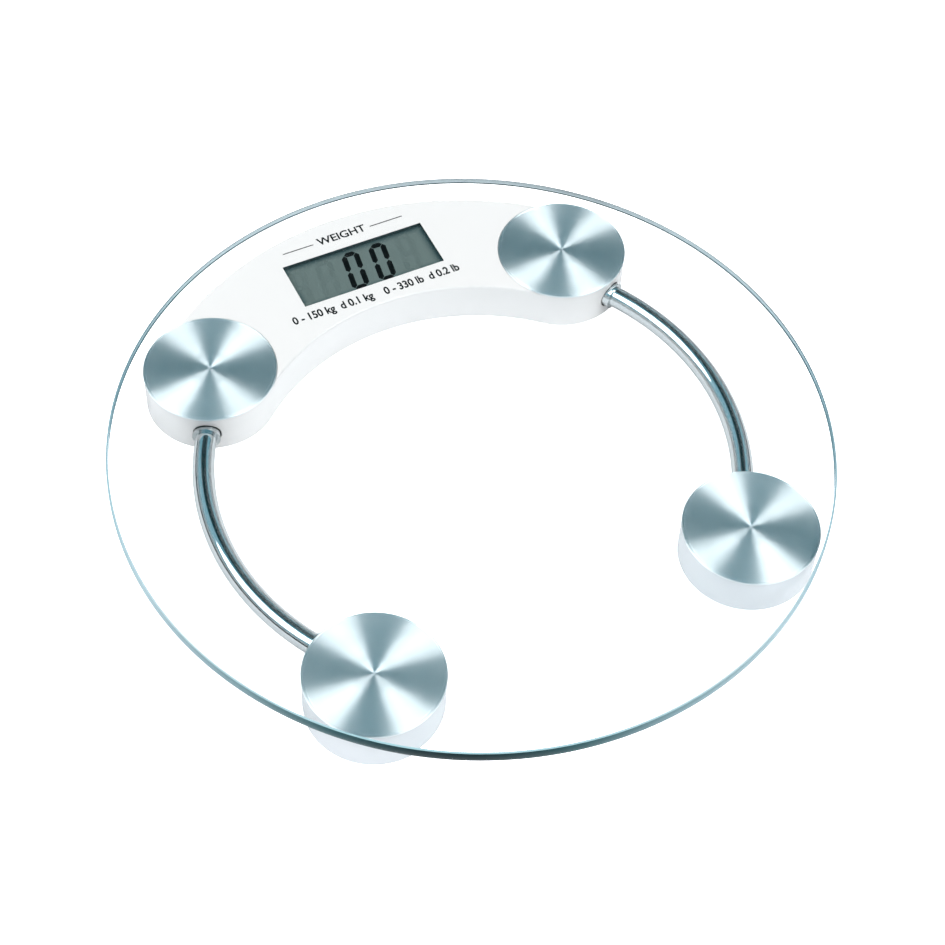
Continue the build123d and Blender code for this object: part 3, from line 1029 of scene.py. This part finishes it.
def screwModel(headRadius, headHeight, length, size):
    # pan head with a cross recess in the face at height 0, shaft with thread rings above it
    bm = bmesh.new()
    steps = size["steps"]
    rings = []
    for radius, level in screwProfile(headRadius, headHeight, length, size):
        rings.append([bm.verts.new((x, y, level)) for x, y in ringPoints(radius, steps)])
    for low, high in zip(rings, rings[1:]):
        for step in range(steps):
            ahead = (step + 1) % steps
            bm.faces.new((low[step], low[ahead], high[ahead], high[step]))
    bm.faces.new(rings[-1])
    reach, half = headRadius * size["armLength"], headRadius * size["armWidth"]
    arm = [(reach, -half), (reach, half), (half, half)]
    outline = []
    for _ in range(4):
        outline += arm
        arm = [(-y, x) for x, y in arm]
    taper, depth = size["recessTaper"], headHeight * size["recess"]
    mouth = [bm.verts.new((x, y, 0)) for x, y in outline]
    floor = [bm.verts.new((x * taper, y * taper, depth)) for x, y in outline]
    pairs = [(step, (step + 1) % len(outline)) for step in range(len(outline))]
    rim = [bm.edges.new((mouth[step], mouth[ahead])) for step, ahead in pairs]
    for step, ahead in pairs:
        bm.faces.new((mouth[step], mouth[ahead], floor[ahead], floor[step]))
    bm.faces.new(floor)
    outer = [edge for edge in bm.edges if edge.is_boundary and edge not in rim]
    bmesh.ops.triangle_fill(bm, edges=outer + rim, use_beauty=True)
    model = bpy.data.objects.new("screwModel", meshFrom(bm, "screwModel"))
    scene.collection.objects.link(model)
    return model


def makeScrews(node, headHeight, tree, size):
    boxes = islandBoxes(node)
    low, high = boxes[0]
    headRadius = (high.x - low.x) / 2
    model = screwModel(headRadius, headHeight, high.z - low.z - 2 * size["inset"], size)
    points = [((a.x + b.x) / 2, (a.y + b.y) / 2, a.z + size["inset"]) for a, b in boxes]
    mesh = growMesh(tree, points, {"Model": model, "Finish": materials["screw_steel"]})
    bpy.data.objects.remove(model)
    smoothWithCreases(mesh)
    piece = newPiece(node.replace("_", "-"), mesh, materials["screw_steel"])
    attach(piece, "scale_body")
    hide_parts(node)


scatterTree = makeScatterTree()
for node, headHeight in screwSet["heads"].items():
    makeScrews(node, headHeight, scatterTree, screwSet)

treadSet = {
    "radii": (0.007, 0.012, 0.017),
    "spacing": 0.0026,
    "rib": (0.00096, 0.0005, 0.0003),
    "height": 0.00024,
}


def makeTread(foot, tree, size):
    centre = nodeCentre(foot + "_grip")
    bm = bmesh.new()
    for radius in size["radii"]:
        count = round(2 * math.pi * radius / size["spacing"])
        values = {"Radius": radius, "Count": count, "Rib Size": size["rib"]}
        values["Finish"] = materials["grip_rubber"]
        bm.from_mesh(growMesh(tree, [(0, 0, 0)], values))
    bm.transform(Matrix.Translation((centre.x, centre.y, size["height"])))
    piece = newPiece(foot.replace("_", "-") + "-tread", meshFrom(bm, "tread"), materials["grip_rubber"])
    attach(piece, foot + "_foot")


treadTree = makeTreadTree()
for foot in feet:
    makeTread(foot, treadTree, treadSet)
print("screws and treads ready")


floorSet = {"side": 12, "glow": 1.0, "tone": (0.90, 0.92, 0.94, 1), "roughness": 0.9}


def makeFloor(size):
    mesh = bpy.data.meshes.new("floor")
    half = size["side"] / 2
    corners = [(-half, -half, 0), (half, -half, 0), (half, half, 0), (-half, half, 0)]
    mesh.from_pydata(corners, [], [(0, 1, 2, 3)])
    material, tree, shader = startMaterial("paleFloor")
    shader.inputs["Base Color"].default_value = size["tone"]
    shader.inputs["Roughness"].default_value = size["roughness"]
    shader.inputs["Emission Color"].default_value = (1, 1, 1, 1)
    rays = addNode(tree, "ShaderNodeLightPath")
    direct = mathNode(tree, "MAXIMUM", rays.outputs["Is Camera Ray"], rays.outputs["Is Transmission Ray"])
    glow = mathNode(tree, "MULTIPLY", direct, size["glow"])
    tree.links.new(glow, shader.inputs["Emission Strength"])
    # clear from below, and to the lamp that stands below
    under = addNode(tree, "ShaderNodeMixShader")
    back = addNode(tree, "ShaderNodeNewGeometry").outputs["Backfacing"]
    tree.links.new(mathNode(tree, "MAXIMUM", back, rays.outputs["Is Shadow Ray"]), under.inputs["Fac"])
    tree.links.new(shader.outputs["BSDF"], under.inputs[1])
    tree.links.new(addNode(tree, "ShaderNodeBsdfTransparent").outputs["BSDF"], under.inputs[2])
    tree.links.new(under.outputs["Shader"], tree.nodes["Material Output"].inputs["Surface"])
    newPiece("floor", mesh, material)


makeFloor(floorSet)

roomSet = {
    "horizon": (0.24, 0.58),
    "low": (0.008, 0.014, 0.017, 1),
    "high": (0.23, 0.56, 0.69, 1),
    "flagAway": 0.61,
    "flagUp": 0.79,
    "flagFade": (0.905, 0.96),
    "flag": (0.012, 0.040, 0.048, 1),
    "nearFade": (0.0, 0.8),
    "farFill": (0.36, 0.365, 0.37, 1),
    "nearFill": (0.34, 0.37, 0.39, 1),
    "open": (0.95, 0.96, 0.97, 1),
}


def facingNode(tree, place, direction):
    node = addNode(tree, "ShaderNodeVectorMath", operation="DOT_PRODUCT")
    tree.links.new(place, node.inputs[0])
    node.inputs[1].default_value = direction
    return node.outputs["Value"]


def makeRoom(look):
    # what reflections see: a dark horizon, a teal ceiling and one dark flag
    world = bpy.data.worlds.new("studio")
    scene.world = world
    world.use_nodes = True
    tree = world.node_tree
    place = addNode(tree, "ShaderNodeTexCoord").outputs["Generated"]
    split = addNode(tree, "ShaderNodeSeparateXYZ")
    tree.links.new(place, split.inputs["Vector"])
    height = rangeNode(tree, split.outputs["Z"], *look["horizon"], 0.0, 1.0)
    room = mixColour(tree, height, look["low"], look["high"])
    aim = Vector((0, 0, look["flagUp"])) - cameraBack * look["flagAway"]
    inFlag = rangeNode(tree, facingNode(tree, place, aim), *look["flagFade"], 0.0, 1.0)
    room = mixColour(tree, inFlag, room, look["flag"])
    # soft fill for matte surfaces
    nearSide = rangeNode(tree, facingNode(tree, place, cameraBack), *look["nearFade"], 0.0, 1.0)
    fill = mixColour(tree, nearSide, look["farFill"], look["nearFill"])
    path = addNode(tree, "ShaderNodeLightPath")
    seen = mixColour(tree, path.outputs["Is Glossy Ray"], fill, room)
    # straight views of the room, also through the glass, are pale
    straight = mathNode(tree, "LESS_THAN", path.outputs["Glossy Depth"], 0.5)
    straight = mathNode(tree, "MULTIPLY", straight, path.outputs["Is Transmission Ray"])
    straight = mathNode(tree, "MAXIMUM", straight, path.outputs["Is Camera Ray"])
    seen = mixColour(tree, straight, seen, look["open"])
    tree.links.new(seen, tree.nodes["Background"].inputs["Color"])


makeRoom(roomSet)

lampSet = {
    "directions": {"leftLamp": (-0.619, -0.054, 0.781), "rightLamp": (0.536, -0.156, 0.828)},
    "distance": 9,
    "halfAngle": 20,
    "radiance": 5.5,
    "underStrength": 2.2,
    "underSpread": 60,
    "underTurn": (160, 0, 30),
}


def addLamp(name, kind):
    data = bpy.data.lights.new(name, kind)
    lamp = bpy.data.objects.new(name, data)
    scene.collection.objects.link(lamp)
    return lamp, data


def makeLamps(size):
    # directions are to the right, away and up, as seen from the camera
    radius = size["distance"] * math.tan(math.radians(size["halfAngle"]))
    for name, (across, away, up) in size["directions"].items():
        toLamp = (cameraRight * across - cameraBack * away + Vector((0, 0, up))).normalized()
        lamp, data = addLamp(name, "AREA")
        data.shape, data.size = "DISK", 2 * radius
        data.energy = size["radiance"] * math.pi * math.pi * radius * radius
        lamp.location = toLamp * size["distance"]
        lamp.rotation_euler = toLamp.to_track_quat("Z", "Y").to_euler()
    # a weak light from below shows the underside and leaves reflections alone
    lamp, data = addLamp("underLamp", "SUN")
    data.energy, data.angle = size["underStrength"], math.radians(size["underSpread"])
    lamp.rotation_euler = [math.radians(turn) for turn in size["underTurn"]]
    lamp.visible_glossy = lamp.visible_transmission = False


makeLamps(lampSet)
scene.view_settings.view_transform = "Standard"
scene.cycles.caustics_refractive = False
scene.cycles.caustics_reflective = False
print("studio ready")
